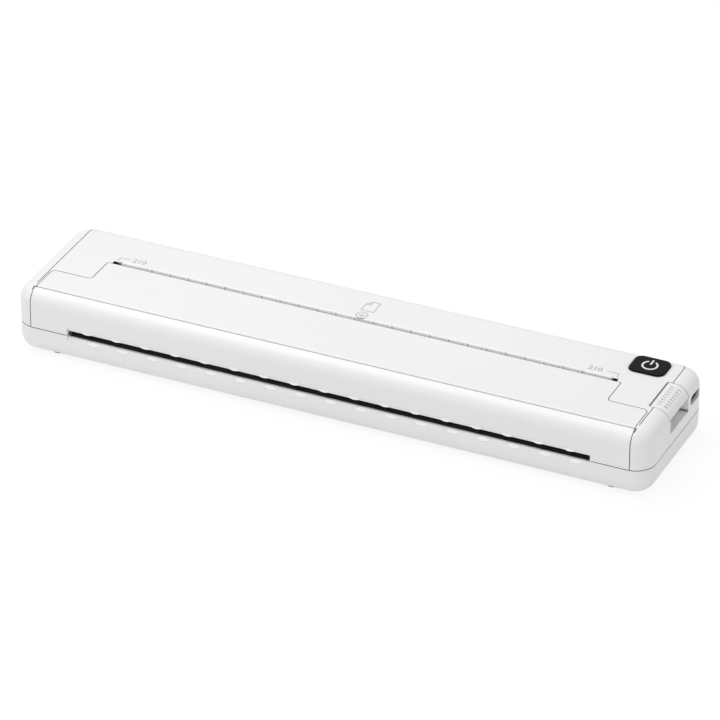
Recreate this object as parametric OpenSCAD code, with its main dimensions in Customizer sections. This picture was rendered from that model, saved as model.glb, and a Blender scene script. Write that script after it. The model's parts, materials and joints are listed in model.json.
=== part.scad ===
// Portable A4 thermal printer: a slim bar with a hinged front lid, a paper inlet on top and an
// outlet slot in front. Millimetres, +Z up, +X towards the power button, front face at -Y,
// origin on the table under the middle of the body.

/* [Body] */
// Length of the body along X
body_len = 269; // [265:1:330]
// Depth of the body along Y
body_dep = 59; // [57:1:72]
// Height of the top face above the table
body_top = 28; // [27.5:0.5:34]
// Corner radius of the body seen from above
plan_r = 8.5; // [7:0.5:10]
// Radius of the upper edges
top_r = 6; // [5:0.5:6.5]
// Radius of the lower edges
bottom_r = 5.5; // [4:0.5:6]
// Thickness of the casing walls
wall = 1.8; // [1.4:0.1:2.2]
// Gap at the parting lines between casing pieces
seam = 0.3; // [0.1:0.05:0.35]
// Inset of the end frame's inner edge from the body's ends
cap_inset = 6.9; // [6.5:0.1:8]
// Inset of the front panel's side edges from the body's ends
panel_inset = 7.35; // [7.1:0.05:8]
// Inset of the top plate's rear edge from the rear face
rear_inset = 3.2; // [2.8:0.1:4]
// Radius of the top plate's rear corners
plate_corner_r = 3; // [1:0.5:4]

/* [Feet] */
// Height of the feet below the bottom shell
foot_h = 0.6; // [0.5:0.1:1.5]
// Radius of a foot
foot_r = 3.6; // [2.5:0.1:4.5]
// Distance of a foot's centre from the body's end
foot_end = 16.5; // [14.5:0.5:24]
// Distance of a foot's centre from the front or rear face
foot_side = 7.5; // [7.2:0.1:12]

/* [Lid] */
// Distance from the front face to the line between front panel and lid
lid_line = 4.65; // [4.4:0.05:5.5]
// Radius of the rounded bead along the lid's front edge
bead_r = 1.5; // [1.2:0.1:1.8]
// Distance from the hinge axis to the lid's rear edge
lid_reach = 26.85; // [25:0.05:30]
// Distance from the hinge axis to the rear edge of the wings
wing_reach = 12.55; // [11:0.05:14]
// Thickness of the lid's plate
lid_t = 1.8; // [1.4:0.1:2.2]
// Gap beside and behind the lid
lid_gap = 0.3; // [0.2:0.05:0.4]
// Visible width of the top plate's arms beside the wings
arm_w = 0.6; // [0.4:0.1:1]
// Radius of the hinge pins
hinge_pin_r = 0.7; // [0.5:0.05:0.8]
// Running clearance of a pin or shaft in its bore
run_fit = 0.05; // [0.02:0.01:0.08]

/* [Paper path] */
// Width of the paper
paper_w = 210; // [200:1:216]
// Side room between the paper and the edge of the lid's narrow part
bay_side = 4.5; // [4:0.1:6]
// Width of the open inlet behind the lid
inlet_gap = 3.5; // [3:0.1:5]
// Number of ribs on the inlet ramp
ramp_ribs = 24; // [8:1:26]
// Distance between the ramp's ribs
rib_pitch = 8; // [7:0.1:8.5]
// Height of the outlet slot
slot_h = 2.8; // [2:0.1:3.5]
// Length of the outlet slot beyond the paper at each end
slot_side = 6; // [4:0.5:8]
// Depth of the chamfers along the slot's lips
lip_depth = 0.9; // [0.4:0.1:1]
// Height of those chamfers
lip_h = 1.8; // [1.6:0.1:2.2]
// Number of small ribs above and below the outlet slot
rib_count = 17; // [5:1:17]
// Distance between those ribs
lip_pitch = 12.8; // [10:0.1:12.8]

/* [Platen and head] */
// Radius of the platen's rubber
platen_r = 4.8; // [4:0.1:5]
// Radius of the platen's shaft
shaft_r = 2; // [1.5:0.1:2.5]
// Distance of the platen's axis behind the hinge axis
platen_back = 15.05; // [14:0.05:16]
// Distance of the platen's axis below the top face
platen_drop = 9; // [8.5:0.1:9.5]
// Thickness of the ceramic strip
ceramic_t = 1; // [0.8:0.1:1.5]
// Gap for the paper between platen and ceramic strip
nip_gap = 0.3; // [0.3:0.05:0.5]
// Thickness of the heatsink
heatsink_t = 2.3; // [1.8:0.1:3]
// Radius of the head's pivot pins
head_pin_r = 0.8; // [0.6:0.1:1]

/* [Gears] */
// Module of all gears
gear_m = 0.5; // [0.5:0.1:0.5]
// Teeth of the platen's gear
platen_teeth = 20; // [18:1:20]
// Teeth of the front idler
front_teeth = 16; // [14:1:16]
// Teeth of the rear idler
rear_teeth = 20; // [18:1:20]
// Teeth of the motor's pinion
pinion_teeth = 12; // [12:1:14]
// Width of the gears
gear_w = 2; // [1.5:0.1:2]
// Radius of the motor's can
motor_r = 7.2; // [6:0.1:7.2]
// Length of the motor's can
motor_len = 16; // [12:1:20]

/* [Key and latch] */
// Inset of the key's inner edge from the body's end
key_inset = 8.8; // [8.5:0.1:9.5]
// Front edge of the key along Y, from the middle of the body
key_front = -7.5; // [-8.5:0.1:-6]
// Rear edge of the key along Y, from the middle of the body
key_rear = 11.6; // [11.3:0.1:12.5]
// Depth of the key's lip below the top face
key_drop = 4.4; // [4:0.1:5]
// Height of the finger pocket below the key
pocket_h = 6; // [5:0.1:7]
// Depth of the finger pocket from the body's end
pocket_depth = 5.6; // [5.4:0.1:5.8]
// Thickness of the key's skin
key_t = 1.5; // [1.2:0.1:1.8]
// Distance that the latch bar slides
latch_travel = 2.4; // [2:0.1:2.5]

/* [Button and socket] */
// Width of the power button along X
button_w = 14.6; // [12:0.1:15]
// Depth of the power button along Y
button_d = 11.6; // [10:0.1:12]
// Distance of the button's middle from the body's end
button_end = 19.3; // [18.5:0.1:25]
// Distance of the button's middle from the rear face
button_rear = 10.3; // [10.3:0.1:14]
// Height of the button above the top face
button_up = 0.7; // [0.3:0.1:1]
// Travel of the button
button_travel = 0.45; // [0.3:0.05:0.5]
// Distance of the socket's middle from the rear face
usb_rear = 11.3; // [9.8:0.1:12]
// Height of the socket's middle above the table
usb_z = 20.3; // [19:0.05:20.4]
// Width of the socket's metal shell
usb_w = 8.94; // [8.9:0.02:9]
// Height of the socket's metal shell
usb_h = 3.16; // [3.1:0.02:3.3]

/* [Battery and board] */
// Radius of a battery cell
cell_r = 9.2; // [8:0.1:9.3]
// Length of a battery cell
cell_len = 65; // [50:1:70]
// Length of the main board
board_len = 42.7; // [37.5:0.1:43.5]
// Thickness of the main board
board_t = 1.6; // [1:0.1:1.6]

/* [Hidden] */
$fn = 64;
big = 400;

// Outer faces and the levels that everything else is placed from
half_len = body_len / 2;
front_y = -body_dep / 2;
rear_y = body_dep / 2;
floor_z = foot_h;
floor_in = foot_h + wall;
skin_in = body_top - wall;
lid_in = body_top - lid_t;

// Hinge axis of the lid, along X
hinge_y = front_y + lid_line + seam + bead_r;
hinge_z = body_top - bead_r;
lid_front_y = hinge_y - bead_r;
lid_rear_y = hinge_y + lid_reach;
wing_rear_y = hinge_y + wing_reach;
wing_x = half_len - cap_inset - seam / 2 - arm_w - lid_gap;
wing_corner_r = 2;
lid_front_r = 1;
lid_rear_r = 0.8;
lid_inner_r = 2;

// Paper bay
bay_x = paper_w / 2 + bay_side;
inlet_rear_y = lid_rear_y + inlet_gap;

// Platen, head and slot
platen_y = hinge_y + platen_back;
platen_z = body_top - platen_drop;
platen_x = paper_w / 2 - 0.2;
head_top = platen_z - platen_r - nip_gap;
sink_top = head_top - ceramic_t;
sink_bottom = sink_top - heatsink_t;
head_x = platen_x - 0.2;
head_front = platen_y - 11;
head_rear = platen_y + 2.6;
head_pin_y = platen_y - 10;
head_pin_z = sink_top - heatsink_t / 2;
slot_mid = head_top - 1.4;
slot_low = slot_mid - slot_h / 2;
slot_high = slot_mid + slot_h / 2;
slot_x = paper_w / 2 + slot_side;
part_z = slot_mid - 0.5;
shell_top = part_z - seam / 2;
upper_low = part_z + seam / 2;

// Platen carrier in the lid
lug_in = platen_x + 0.4;
lug_t = 1.8;
lug_out = lug_in + lug_t;
gear_in = lug_out + 0.2;
gear_out = gear_in + gear_w;
plate_z0 = body_top - lid_t - 1.2;
bushing_r = 3.2;

// Chassis side walls
side_in = bay_x + 0.3;
side_t = 1.4;
side_out = side_in + side_t;
side_top = hinge_z - bead_r - 0.6;

// Gear train: each gear's centre is found from the one before it
function pitch_r(n) = gear_m * n / 2;
lift_dir = atan2(-platen_back, -(hinge_z - platen_z));
rear_dir = -13;
pinion_dir = 12;
front_idler = [platen_y, platen_z]
    + (pitch_r(platen_teeth) + pitch_r(front_teeth)) * [cos(lift_dir), sin(lift_dir)];
rear_idler = front_idler
    + (pitch_r(front_teeth) + pitch_r(rear_teeth)) * [cos(rear_dir), sin(rear_dir)];
motor_at = rear_idler
    + (pitch_r(rear_teeth) + pitch_r(pinion_teeth)) * [cos(pinion_dir), sin(pinion_dir)];
post_r = 1;
plate_x1 = lug_in + 0.2;
gear_plate_t = 1;
plate_x0 = plate_x1 + gear_plate_t;

// Gear phases: a tooth of one gear meets a gap of the next
function mesh_phase(dir, before, n_before, n) =
    dir + 180 - 180 / n - (before - dir) * n_before / n;
platen_phase = lift_dir;
front_phase = mesh_phase(lift_dir, platen_phase, platen_teeth, front_teeth);
rear_phase = mesh_phase(rear_dir, front_phase, front_teeth, rear_teeth);
pinion_phase = mesh_phase(pinion_dir, rear_phase, rear_teeth, pinion_teeth);

// Key: bullnose edge, hinge axis along Y, lip and pocket
nose_r = 0.9;
key_x = half_len - key_inset;
key_nose_x = key_x + nose_r;
key_axis_x = key_x + 2.7;
key_axis_z = body_top - 1.4;
barrel_r = 1.25;
key_pin_r = 0.6;
key_low = body_top - key_drop;
key_gap = 0.25;
key_plan_r = 0.6;
pocket_x = half_len - pocket_depth;
pocket_low = key_low - 0.2 - pocket_h;
pocket_wall = 1;
key_marks = 8;
key_mark_pitch = 1.9;

// Latch bar: its section, its hooks on the lid's lugs, and the frame round the key's finger
bar_y0 = inlet_rear_y - 0.5;
bar_y1 = bar_y0 + 3;
bar_z0 = skin_in - 3.8;
bar_z1 = skin_in - 1.5;
hook_low = bar_z0 - 1.9;
hook_high = bar_z0 - 0.5;
lug_y0 = lid_rear_y - 2.2;
lug_y1 = lid_rear_y - 0.6;
catch_in = paper_w / 2 + 0.5;
catch_out = paper_w / 2 + 2.5;
window_y1 = lid_rear_y + 2;
finger_x0 = key_axis_x - 6;
finger_x1 = key_axis_x - 4.6;
finger_y0 = bar_y0 + 0.4;
finger_y1 = bar_y1 - 0.2;
finger_low = key_axis_z - 6.6;
fork_x0 = finger_x0 - 4.4;
fork_in0 = finger_x0 - 1.8;
fork_in1 = finger_x1 + 0.5;
fork_x1 = fork_in1 + 0.9;
fork_low = finger_low - 1.4;
fork_high = finger_low + 2.4;
spring_x0 = bay_x - 22;
spring_x1 = spring_x0 + 8 + latch_travel;
latch_spring_z = bar_z0 - 2.6;

// Button
button_x = half_len - button_end;
button_y = rear_y - button_rear;
button_r = 3;
button_gap = 0.2;
button_top = body_top + button_up;
flange_top = skin_in - 0.8;
symbol_r = 3.3;
symbol_w = 0.75;
symbol_t = 0.3;

// Board, socket and battery
usb_y = rear_y - usb_rear;
board_top = usb_z - usb_h / 2;
board_bottom = board_top - board_t;
board_x1 = half_len - 7.8;
board_x0 = board_x1 - board_len;
board_y0 = bar_y1 + 1.4;
board_y1 = rear_y - wall - 0.7;
board_holes = [
    [board_x0 + 4, board_y1 - 2.6], [board_x0 + 4, board_y0 + 3], [board_x1 - 3.7, board_y0 + 5.2]
];
cell_y = rear_y - wall - 0.9 - cell_r;
cell_z = floor_in + 0.3 + cell_r;
cell_gap = 3;
cells_x = cell_len + cell_gap / 2;
ribbon_x0 = board_x0 + 8.5;
ribbon_x1 = ribbon_x0 + 10;

// Screws: two in the front corners, two in the rear frame, two in the top plate
front_screw = [half_len - 10.5, front_y + 9.5];
rear_screw = [cells_x + 9.5, rear_y - 6];
plate_screw = [cells_x + 13.5, bar_y1 + 3.5];
boss_r = 2.8;
pilot_r = 0.9;
screw_r = 1;
screw_head_r = 1.9;
screw_sink = 1.2;

// Springs
spring_peg_r = 1.5;
head_spring_r = 2.2;
head_spring_wire = 0.5;
head_spring_x = [-70, 0, 70];
head_spring_y = platen_y - 2;

casing = [0.95, 0.955, 0.95];
graphite = [0.16, 0.16, 0.17];
steel = [0.72, 0.73, 0.75];
gear_white = [0.88, 0.87, 0.82];
rubber_black = [0.09, 0.09, 0.09];

// ---------------------------------------------------------------- outlines and helpers

// Cuts a round corner of radius r at point p; in_dir points from the corner into the shape
module corner_cut(p, in_dir, r)
{
    translate(p + r * in_dir)
        difference() {
            translate([in_dir.x > 0 ? -r - 1 : 0, in_dir.y > 0 ? -r - 1 : 0]) square(r + 1);
            circle(r);
        }
}

// A rectangle from lo to hi with its own radius at each corner, 0 for a sharp one
module soft_rect(lo, hi, r_front, r_rear)
{
    difference() {
        translate(lo) square(hi - lo);
        if (r_front > 0) {
            corner_cut(lo, [1, 1], r_front);
            corner_cut([hi.x, lo.y], [-1, 1], r_front);
        }
        if (r_rear > 0) {
            corner_cut(hi, [-1, -1], r_rear);
            corner_cut([lo.x, hi.y], [1, -1], r_rear);
        }
    }
}

// Box between two corners
module span(lo, hi)
{
    translate(lo) cube(hi - lo);
}

// Extrudes a Y-Z outline along X from x0 to x1
module along_x(x0, x1)
{
    translate([x0, 0, 0]) rotate([90, 0, 90]) linear_extrude(x1 - x0) children();
}

// Extrudes an X-Z outline along Y from y0 to y1
module along_y(y0, y1)
{
    translate([0, y1, 0]) rotate([90, 0, 0]) linear_extrude(y1 - y0) children();
}

// Cylinder along X, with its axis at (y, z)
module rod_x(x0, x1, y, z, r)
{
    translate([x0, y, z]) rotate([0, 90, 0]) cylinder(h = x1 - x0, r = r);
}

// Cylinder along Y, with its axis at (x, z)
module rod_y(y0, y1, x, z, r)
{
    translate([x, y1, z]) rotate([90, 0, 0]) cylinder(h = y1 - y0, r = r);
}

// Upright cylinder between two heights
module post(p, z0, z1, r)
{
    translate([p.x, p.y, z0]) cylinder(h = z1 - z0, r = r);
}

// Places its children at each end, the second mirrored
module both_ends()
{
    children();
    mirror([1, 0, 0]) children();
}

// A section of the body with half width w, moved inwards by g: upright sides, rounded edges
module body_section(w, g)
{
    rt = top_r - g;
    rb = bottom_r - g;
    difference() {
        translate([-w, floor_z + g]) square([2 * w, body_top - floor_z - 2 * g]);
        corner_cut([w, body_top - g], [-1, -1], rt);
        corner_cut([-w, body_top - g], [1, -1], rt);
        corner_cut([w, floor_z + g], [-1, 1], rb);
        corner_cut([-w, floor_z + g], [1, 1], rb);
    }
}

// The whole body as a solid, moved inwards by g on all sides
module slab(g)
{
    cx = half_len - plan_r;
    cy = rear_y - plan_r;
    along_x(-cx, cx) body_section(rear_y - g, g);
    for (s = [0, 1])
        mirror([s, 0, 0])
            intersection() {
                along_y(-cy, cy) body_section(half_len - g, g);
                span([cx, -big, -big], [big, big, big]);
            }
    for (sx = [-1, 1], sy = [-1, 1])
        translate([sx * cx, sy * cy, 0])
            rotate(sx > 0 ? (sy > 0 ? 0 : -90) : (sy > 0 ? 90 : 180))
                rotate_extrude(angle = 90)
                    intersection() {
                        body_section(plan_r - g, g);
                        translate([0, -big]) square([big, 2 * big]);
                    }
}

// The casing's skin between the outside and the depth t
module skin(t = wall)
{
    difference() {
        slab(0);
        slab(t);
    }
}

// Outline of the lid seen from above, grown by g
module lid_outline(g)
{
    soft_rect([-wing_x - g, lid_front_y - g], [wing_x + g, wing_rear_y + g],
              lid_front_r + g, wing_corner_r + g);
    soft_rect([-bay_x - g, lid_front_y + 2], [bay_x + g, lid_rear_y + g], 0, lid_rear_r + g);
    for (s = [-1, 1])
        translate([s * (bay_x + g), wing_rear_y + g])
            difference() {
                r = lid_inner_r - g;
                translate([s > 0 ? 0 : -r, 0]) square(r);
                translate([s * r, r]) circle(r);
            }
}

// Outline of the key seen from above, grown by g
module key_outline(g)
{
    difference() {
        translate([key_x - g, key_front - g]) square([40, key_rear - key_front + 2 * g]);
        corner_cut([key_x - g, key_front - g], [1, 1], key_plan_r + g);
        corner_cut([key_x - g, key_rear + g], [1, -1], key_plan_r + g);
    }
}

// Outline of the opening inside the end and rear frame
module frame_opening(g)
{
    soft_rect([-half_len + cap_inset - g, -big], [half_len - cap_inset + g, rear_y - rear_inset + g],
              0, plate_corner_r + g);
}

// Outline of a gear with involute flanks, a tooth centred on the direction phase
function involute(a) = tan(a) * 180 / PI - a;
function half_tooth(r, n, play) =
    90 / n - play / pitch_r(n) * 180 / PI + involute(20)
    - involute(acos(min(1, pitch_r(n) * cos(20) / r)));
module gear_outline(n, phase)
{
    tip = pitch_r(n) + 0.9 * gear_m;
    root = pitch_r(n) - 1.2 * gear_m;
    base = max(root, pitch_r(n) * cos(20));
    play = 0.05;
    rows = [
        [root, -half_tooth(base, n, play) - 0.6], [base, -half_tooth(base, n, play)],
        [pitch_r(n), -half_tooth(pitch_r(n), n, play)], [tip, -half_tooth(tip, n, play)],
        [tip, half_tooth(tip, n, play)], [pitch_r(n), half_tooth(pitch_r(n), n, play)],
        [base, half_tooth(base, n, play)], [root, half_tooth(base, n, play) + 0.6]
    ];
    polygon([
        for (i = [0 : n - 1], row = rows)
            row[0] * [cos(phase + i * 360 / n + row[1]), sin(phase + i * 360 / n + row[1])]
    ]);
}

// A gear in the feed train, at the left end, on the axis at c
module feed_gear(n, phase, c, bore)
{
    difference() {
        translate([0, c.x, c.y])
            along_x(-gear_out, -gear_in) gear_outline(n, phase);
        rod_x(-gear_out - 1, -gear_in + 1, c.x, c.y, bore);
    }
}

// A rounded bar of width w and height h, standing in the Y-Z plane at (y, z), along X
module oval_x(x0, x1, y, z, w, h)
{
    along_x(x0, x1)
        translate([y, z]) {
            square([w - h, h], center = true);
            for (s = [-1, 1]) translate([s * (w - h) / 2, 0]) circle(h / 2);
        }
}

// Wire spring along +Z from the origin: one unbroken tube with closed flat ends
module coil(r, wire, height, turns)
{
    sides = 8;
    steps = 14;
    count = turns * steps;
    function ring_at(i) = [
        for (k = [0 : sides - 1])
            let (a = 360 * i / steps, b = 360 * k / sides,
                 rise = wire + (height - 2 * wire) * i / count)
            [(r + wire * cos(b)) * cos(a), (r + wire * cos(b)) * sin(a), rise + wire * sin(b)]
    ];
    points = [for (i = [0 : count]) each ring_at(i)];
    sidewalls = [
        for (i = [0 : count - 1], k = [0 : sides - 1])
            let (a = i * sides + k, b = i * sides + (k + 1) % sides)
            each [[a, a + sides, b], [b, a + sides, b + sides]]
    ];
    ends = [
        [for (k = [0 : sides - 1]) k],
        [for (k = [sides - 1 : -1 : 0]) count * sides + k]
    ];
    polyhedron(points, concat(sidewalls, ends));
}

// A strip of thickness t along Y-Z points
function turn(v) = [-v.y, v.x] / norm(v);
function strip_side(p, t) = [
    for (i = [0 : len(p) - 1])
        let (before = i > 0 ? turn(p[i] - p[i - 1]) : turn(p[1] - p[0]),
             after = i < len(p) - 1 ? turn(p[i + 1] - p[i]) : turn(p[i] - p[i - 1]))
        p[i] + t / (1 + before * after) * (before + after)
];
module strip(p, t)
{
    side = strip_side(p, t);
    polygon(concat(p, [for (i = [len(side) - 1 : -1 : 0]) side[i]]));
}

// A round wire through corner points
module wire_run(p, r)
{
    for (i = [0 : len(p) - 2]) {
        d = p[i + 1] - p[i];
        translate(p[i])
            rotate([0, acos(d.z / norm(d)), atan2(d.y, d.x)])
                cylinder(h = norm(d), r = r, $fn = 24);
        if (i > 0) translate(p[i]) sphere(r, $fn = 24);
    }
}

// ---------------------------------------------------------------- casing

module screw_points()
{
    for (s = [-1, 1], p = [front_screw, rear_screw, plate_screw])
        translate([s * p.x, p.y, 0]) children();
}

module foot_points()
{
    for (sx = [-1, 1], sy = [-1, 1])
        translate([sx * (half_len - foot_end), sy * (rear_y - foot_side), 0]) children();
}

// Chamfer along a lip of the outlet slot that leaves a row of lens-shaped ribs standing.
// It runs from the edge at height z upwards (dir 1) or downwards (dir -1)
module lip_chamfer(z, dir, shift)
{
    lens_r = 6.2;
    lens_h = 0.65;
    difference() {
        along_x(-slot_x, slot_x)
            polygon([[front_y - 1, z - dir], [front_y + lip_depth, z - dir], [front_y + lip_depth, z],
                     [front_y, z + dir * lip_h], [front_y - 1, z + dir * lip_h]]);
        for (i = [0 : rib_count - 1])
            translate([(i - (rib_count - 1) / 2) * lip_pitch + shift, 0, z + dir * 0.9])
                along_y(front_y - 2, front_y + 2)
                    intersection() {
                        translate([0, lens_r - lens_h]) circle(lens_r);
                        translate([0, lens_h - lens_r]) circle(lens_r);
                    }
    }
}

module cell_cradles()
{
    for (x = [-cells_x + 6, -7, 7, cells_x - 6])
        difference() {
            span([x - 1, cell_y - 6, floor_in - 0.5], [x + 1, cell_y + 6, cell_z - 5]);
            rod_x(x - 2, x + 2, cell_y, cell_z, cell_r + 0.1);
        }
}

module bottom_shell()
{
    color(casing)
    difference() {
        union() {
            difference() {
                slab(0);
                slab(wall);
                span([-big, -big, shell_top], [big, big, big]);
                span([-slot_x, -big, slot_low], [slot_x, front_y + wall + 1, big]);
            }
            intersection() {
                union() {
                    screw_points() post([0, 0], floor_in - 0.5, upper_low, boss_r);
                    for (p = board_holes) post(p, floor_in - 0.5, board_bottom, 2.3);
                    for (x = head_spring_x)
                        post([x, head_spring_y], floor_in - 0.5, floor_in + 2, spring_peg_r);
                    cell_cradles();
                    span([-head_x, head_front - 2.4, floor_in - 0.5],
                         [head_x, head_front - 1.2, floor_in + 4]);
                }
                slab(0.4);
            }
        }
        lip_chamfer(slot_low, -1, 2.7);
        screw_points() {
            post([0, 0], -1, shell_top + 1, screw_r + 0.1);
            post([0, 0], -1, floor_z + screw_sink, screw_head_r + 0.2);
        }
        for (p = board_holes) post(p, board_bottom - 6, board_bottom + 1, pilot_r);
        foot_points() post([0, 0], -1, floor_z + 0.5, foot_r);
    }
}

module frame_blocks()
{
    // Front corner: carries the hinge pin's bore and the front case screw
    intersection() {
        union() {
            span([half_len - panel_inset, front_y, upper_low],
                 [half_len, lid_front_y + 2.65, body_top - 1]);
            span([half_len - cap_inset + seam / 2, front_y, upper_low],
                 [half_len, front_y + 14, body_top - 1]);
            span([half_len - 14, front_y + 5.3, upper_low],
                 [half_len - 5.5, front_y + 13.5, side_top + 0.1]);
        }
        slab(0.6);
    }
    // Land beside the lid's front corner
    intersection() {
        slab(0);
        span([wing_x + lid_gap, lid_front_y + 0.25, side_top],
             [half_len - 5.5, lid_front_y + 2.65, big]);
    }
    // Rear web with the rear case screw
    intersection() {
        span([rear_screw.x - boss_r, rear_screw.y - boss_r, upper_low],
             [rear_screw.x + boss_r, rear_y - 1, skin_in - 3]);
        slab(0.6);
    }
}

module surround_frame()
{
    color(casing)
    difference() {
        union() {
            difference() {
                slab(0);
                slab(wall);
                span([-big, -big, -big], [big, big, upper_low]);
                difference() {
                    linear_extrude(big) frame_opening(seam / 2);
                    both_ends()
                        span([half_len - panel_inset, -big, -big],
                             [big, front_y + 3, big]);
                }
            }
            both_ends() frame_blocks();
            // Walls of the finger pocket
            intersection() {
                span([pocket_x - pocket_wall, key_front - pocket_wall, pocket_low - pocket_wall],
                     [half_len, key_rear + pocket_wall, key_low - 0.4]);
                slab(0.6);
            }
            // Bosses that hold the key's pin
            intersection() {
                for (y = [[key_front - 1.9, key_front - key_gap],
                          [key_rear + key_gap, key_rear + 1.9]])
                    span([half_len - cap_inset + seam / 2, y[0], key_axis_z - 1.4],
                         [key_axis_x + 1.6, y[1], body_top]);
                slab(0.6);
            }
        }
        // Finger pocket, key opening and socket opening
        along_x(pocket_x, big)
            soft_rect([key_front + 0.4, pocket_low], [key_rear - 0.4, big], 0, 0);
        intersection() {
            linear_extrude(big) key_outline(key_gap);
            span([-big, -big, key_low - 0.2], [big, big, big]);
        }
        oval_x(half_len - 8, big, usb_y, usb_z, usb_w + 0.7, usb_h + 0.7);
        // Pin bores and screw pilots
        rod_y(key_front - 1.6, key_rear + 1.6, key_axis_x, key_axis_z, key_pin_r);
        both_ends() {
            rod_x(wing_x, half_len - 5.3, hinge_y, hinge_z, hinge_pin_r + run_fit);
            post(front_screw, 0, side_top - 1.5, pilot_r);
            post(rear_screw, 0, skin_in - 6, pilot_r);
        }
    }
}

module front_panel()
{
    edge = half_len - panel_inset - seam;
    color(casing)
    difference() {
        intersection() {
            skin();
            span([-edge, -big, upper_low], [edge, front_y + lid_line, big]);
        }
        span([-slot_x, -big, -big], [slot_x, big, slot_high]);
        lip_chamfer(slot_high, 1, 0);
    }
}

// Y-Z outline of the inlet ramp, from the top face down to the platen
ramp_nose_r = 1.2;
function ramp_face() = [
    for (a = [90 : 22.5 : 180])
        [inlet_rear_y, body_top - ramp_nose_r] + ramp_nose_r * [cos(a), sin(a)],
    [inlet_rear_y - 1.4, body_top - 2.1], [platen_y + 7, platen_z + 3.4],
    [platen_y + 5.8, platen_z - 2], [platen_y + 5, platen_z - 4]
];
function ramp_back() = [
    [platen_y + 6.4, platen_z - 4], [platen_y + 7.2, platen_z - 2],
    [platen_y + 8.3, platen_z + 2.5], [inlet_rear_y, skin_in - 0.6]
];

module ramp()
{
    face = ramp_face();
    ridge = [for (i = [2 : 6]) face[i]];
    along_x(-paper_w / 2, paper_w / 2) polygon(concat(face, ramp_back()));
    for (i = [0 : ramp_ribs - 1])
        translate([(i - (ramp_ribs - 1) / 2) * rib_pitch, 0, 0])
            along_x(-0.6, 0.6)
                polygon(concat(strip_side(ridge, 0.2),
                               [for (k = [len(ridge) - 1 : -1 : 0]) strip_side(ridge, -0.4)[k]]));
}

module bar_guide(x)
{
    difference() {
        span([x, bar_y0 - 1.2, latch_spring_z - 1.6], [x + 1.5, bar_y1 + 1.2, skin_in + 0.2]);
        span([x - 1, bar_y0 - 0.3, bar_z0 - 0.3], [x + 3, bar_y1 + 0.3, bar_z1 + 0.3]);
    }
}

module top_plate()
{
    edge_x = half_len - cap_inset - seam / 2;
    button_hole = [button_w / 2 + button_gap, button_d / 2 + button_gap];
    color(casing)
    difference() {
        union() {
            difference() {
                intersection() {
                    skin();
                    translate([0, 0, skin_in - 6]) linear_extrude(big) frame_opening(-seam / 2);
                    span([-big, lid_front_y + 2.75, skin_in - 6], [big, big, big]);
                }
                linear_extrude(big) lid_outline(lid_gap);
                linear_extrude(big) {
                    soft_rect([-paper_w / 2, platen_y], [paper_w / 2, inlet_rear_y], 0, 0);
                    soft_rect([-catch_out - 0.3, platen_y], [catch_out + 0.3, window_y1], 0, 0);
                }
            }
            ramp();
            both_ends() {
                // Ledge under the wing's side, hung from the arm
                span([edge_x - 1.9, lid_front_y + 3.4, side_top + 0.3],
                     [edge_x, wing_rear_y + 1, skin_in - 0.3]);
                span([wing_x + lid_gap, lid_front_y + 3.4, skin_in - 0.5],
                     [edge_x, wing_rear_y + 1, skin_in + 0.2]);
                // Shelf with the latch window
                difference() {
                    span([paper_w / 2, lid_rear_y + 0.3, skin_in - 1.2],
                         [bay_x + 0.5, inlet_rear_y + 0.5, skin_in + 0.2]);
                    span([catch_in - 0.3, -big, 0], [catch_out + 0.3, window_y1, big]);
                }
                post(plate_screw, upper_low, skin_in + 0.2, boss_r);
            }
            bar_guide(spring_x1);
            bar_guide(-bay_x + 12);
            // Collar round the button
            translate([button_x, button_y, flange_top + 0.3])
                linear_extrude(skin_in - flange_top - 0.1)
                    soft_rect(-button_hole - [1, 1], button_hole + [1, 0.6], button_r, button_r);
        }
        both_ends() post(plate_screw, 0, skin_in - 2, pilot_r);
        // The key's opening, with room on its inner side for the key to tilt
        for (dx = [0, -0.1]) translate([dx, 0, 0]) linear_extrude(big) key_outline(key_gap);
        translate([button_x, button_y, 0])
            linear_extrude(big)
                soft_rect(-button_hole, button_hole, button_r + button_gap, button_r + button_gap);
    }
}

module chassis()
{
    guide_rear = head_front - 0.8;
    foot_clear = max(3, bottom_r - wall + 0.3);
    color(graphite)
    difference() {
        union() {
            both_ends() {
                along_x(side_in, side_out)
                    polygon([
                        [front_y + wall, floor_in + foot_clear], [front_y + wall + foot_clear, floor_in],
                        [platen_y + 7.5, floor_in], [platen_y + 7.5, side_top],
                        [front_y + wall + 3, side_top], [front_y + wall, side_top - 3]
                    ]);
                span([side_out - 0.2, hinge_y - 0.5, side_top - 1.8],
                     [half_len - 14.3, wing_rear_y - 0.3, side_top - 0.6]);
            }
            along_x(-side_in - 0.1, side_in + 0.1)
                strip([[front_y + wall + 0.2, slot_low + 0.1], [guide_rear, head_top - 0.3]], -1.2);
            for (i = [0 : rib_count - 1])
                translate([(i - (rib_count - 1) / 2) * lip_pitch, 0, 0])
                    along_x(-0.4, 0.4)
                        strip([[front_y + wall + 0.4, slot_low + 0.05],
                               [guide_rear, head_top - 0.35]], 0.35);
        }
        both_ends()
            rod_x(head_x, side_out + 1, head_pin_y, head_pin_z, head_pin_r + run_fit);
        span([30, head_front - 5, 0], [35, head_front - 2.4, head_top]);
    }
}

module rubber_feet()
{
    color(rubber_black)
    foot_points() {
        post([0, 0], 0.3, floor_z + 0.5, foot_r);
        post([0, 0], 0, 0.3, foot_r - 0.3);
    }
}

module case_screws()
{
    color(steel)
    screw_points()
        difference() {
            union() {
                post([0, 0], floor_z + 0.2, floor_z + screw_sink, screw_head_r);
                post([0, 0], floor_z + screw_sink - 0.1, shell_top + 4.5, pilot_r);
            }
            for (a = [0, 90])
                rotate(a) span([-1.1, -0.25, 0], [1.1, 0.25, floor_z + 0.8]);
        }
}

// ---------------------------------------------------------------- lid and platen

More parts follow.
